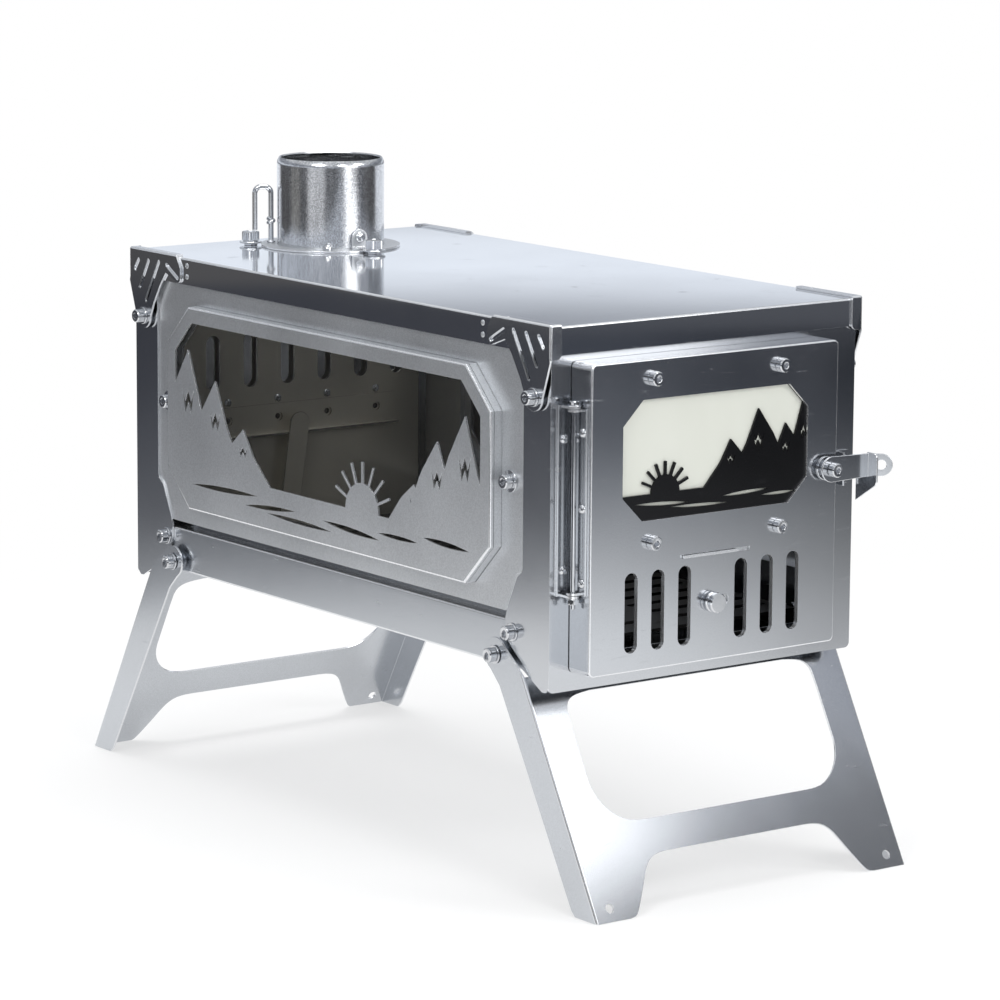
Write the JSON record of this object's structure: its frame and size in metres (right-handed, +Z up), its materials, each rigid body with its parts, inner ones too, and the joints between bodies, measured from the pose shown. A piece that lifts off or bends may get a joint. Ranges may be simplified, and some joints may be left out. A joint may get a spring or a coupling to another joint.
{
  "type": "tent wood stove",
  "caption": "Folding sheet-steel tent stove with glazed sides, hinged glazed door, air slide, swing latch, flue collar and fold-under legs.",
  "frame": {"origin": "on the floor, midway between the four feet", "axes": "+X to the latch side of the door, +Y from the door to the flue, +Z up"},
  "size_m": [0.2142, 0.4708, 0.3421],
  "materials": {
    "polished_plate": "mirror-polished stainless sheet",
    "panel_steel": "bright-rolled stainless sheet",
    "satin_steel": "satin stainless sheet",
    "leg_steel": "satin stainless sheet",
    "collar_steel": "drawn stainless tube with a fine grain",
    "dark_steel": "heat-darkened stainless sheet",
    "screw_steel": "bright stainless",
    "side_glass": "clear ceramic glass",
    "door_glass": "clear ceramic glass"
  },
  "bodies": {
    "stove": {"top_plate": "polished_plate", "bracket_front_left": "satin_steel", "bracket_front_right": "satin_steel", "bracket_rear_left": "satin_steel", "bracket_rear_right": "satin_steel", "bracket_bolts": "screw_steel", "lid_rivets": "screw_steel", "front_panel": "panel_steel", "rear_panel": "panel_steel", "left_panel": "satin_steel", "right_panel": "satin_steel", "base_pan": "leg_steel", "rail_bolts": "screw_steel", "leg_pivot_bolts": "screw_steel", "leg_spacers": "screw_steel", "left_window_frame": "satin_steel", "right_window_frame": "satin_steel", "left_glass": "side_glass", "right_glass": "side_glass", "left_screen": "satin_steel", "right_screen": "satin_steel", "window_bolts": "screw_steel", "hinge_fixed_leaf": "satin_steel", "hinge_pin": "screw_steel", "hinge_pin_nut": "screw_steel", "hinge_fixed_screws": "screw_steel", "latch_keeper": "satin_steel", "keeper_screws": "screw_steel", "flue_collar": "collar_steel", "flue_flange": "satin_steel", "flue_tabs": "satin_steel", "flue_tab_screws": "screw_steel", "flange_screws": "screw_steel", "flue_studs": "screw_steel", "stud_washers": "screw_steel", "thumb_nuts": "screw_steel", "rear_liner": "dark_steel", "liner_screws": "screw_steel", "rear_rail": "dark_steel", "rear_strap": "dark_steel", "fire_grate": "dark_steel"},
    "door": {"door_shell": "panel_steel", "door_screen": "dark_steel", "door_glass": "door_glass", "door_glass_clamp": "dark_steel", "door_bolts": "screw_steel", "slide_guides": "dark_steel", "hinge_door_leaf": "satin_steel", "hinge_door_screws": "screw_steel", "latch_screw": "screw_steel", "latch_disc": "screw_steel", "latch_spacer": "screw_steel"},
    "latch": {"latch_lever": "satin_steel"},
    "air_control": {"air_slide": "satin_steel", "air_knob": "screw_steel"},
    "front_leg": {"leg_front": "leg_steel"},
    "rear_leg": {"leg_rear": "leg_steel"},
    "wire_loop": {"wire_loop": "screw_steel"}
  },
  "joints": [
    {"name": "door_hinge", "type": "hinge", "parent": "stove", "child": "door", "pos_m": [-0.0897, -0.198, 0.205], "axis": [0, 0, -1], "range_deg": [0, 110]},
    {"name": "latch_pivot", "type": "hinge", "parent": "door", "child": "latch", "pos_m": [0.066, -0.2119, 0.2083], "axis": [0, -1, 0], "range_deg": [0, 55]},
    {"name": "air_slide_travel", "type": "slide", "parent": "door", "child": "air_control", "axis": [1, 0, 0], "range_m": [0, 0.0085]},
    {"name": "front_leg_fold", "type": "hinge", "parent": "stove", "child": "front_leg", "pos_m": [0, -0.15, 0.1215], "axis": [1, 0, 0], "range_deg": [0, 118.7]},
    {"name": "rear_leg_fold", "type": "hinge", "parent": "stove", "child": "rear_leg", "pos_m": [0, 0.15, 0.1215], "axis": [-1, 0, 0], "range_deg": [0, 118.7]},
    {"name": "wire_loop_swing", "type": "hinge", "parent": "stove", "child": "wire_loop", "pos_m": [-0.02667, 0.163, 0.31], "axis": [0, 0, 1], "range_deg": [-90, 90]}
  ]
}
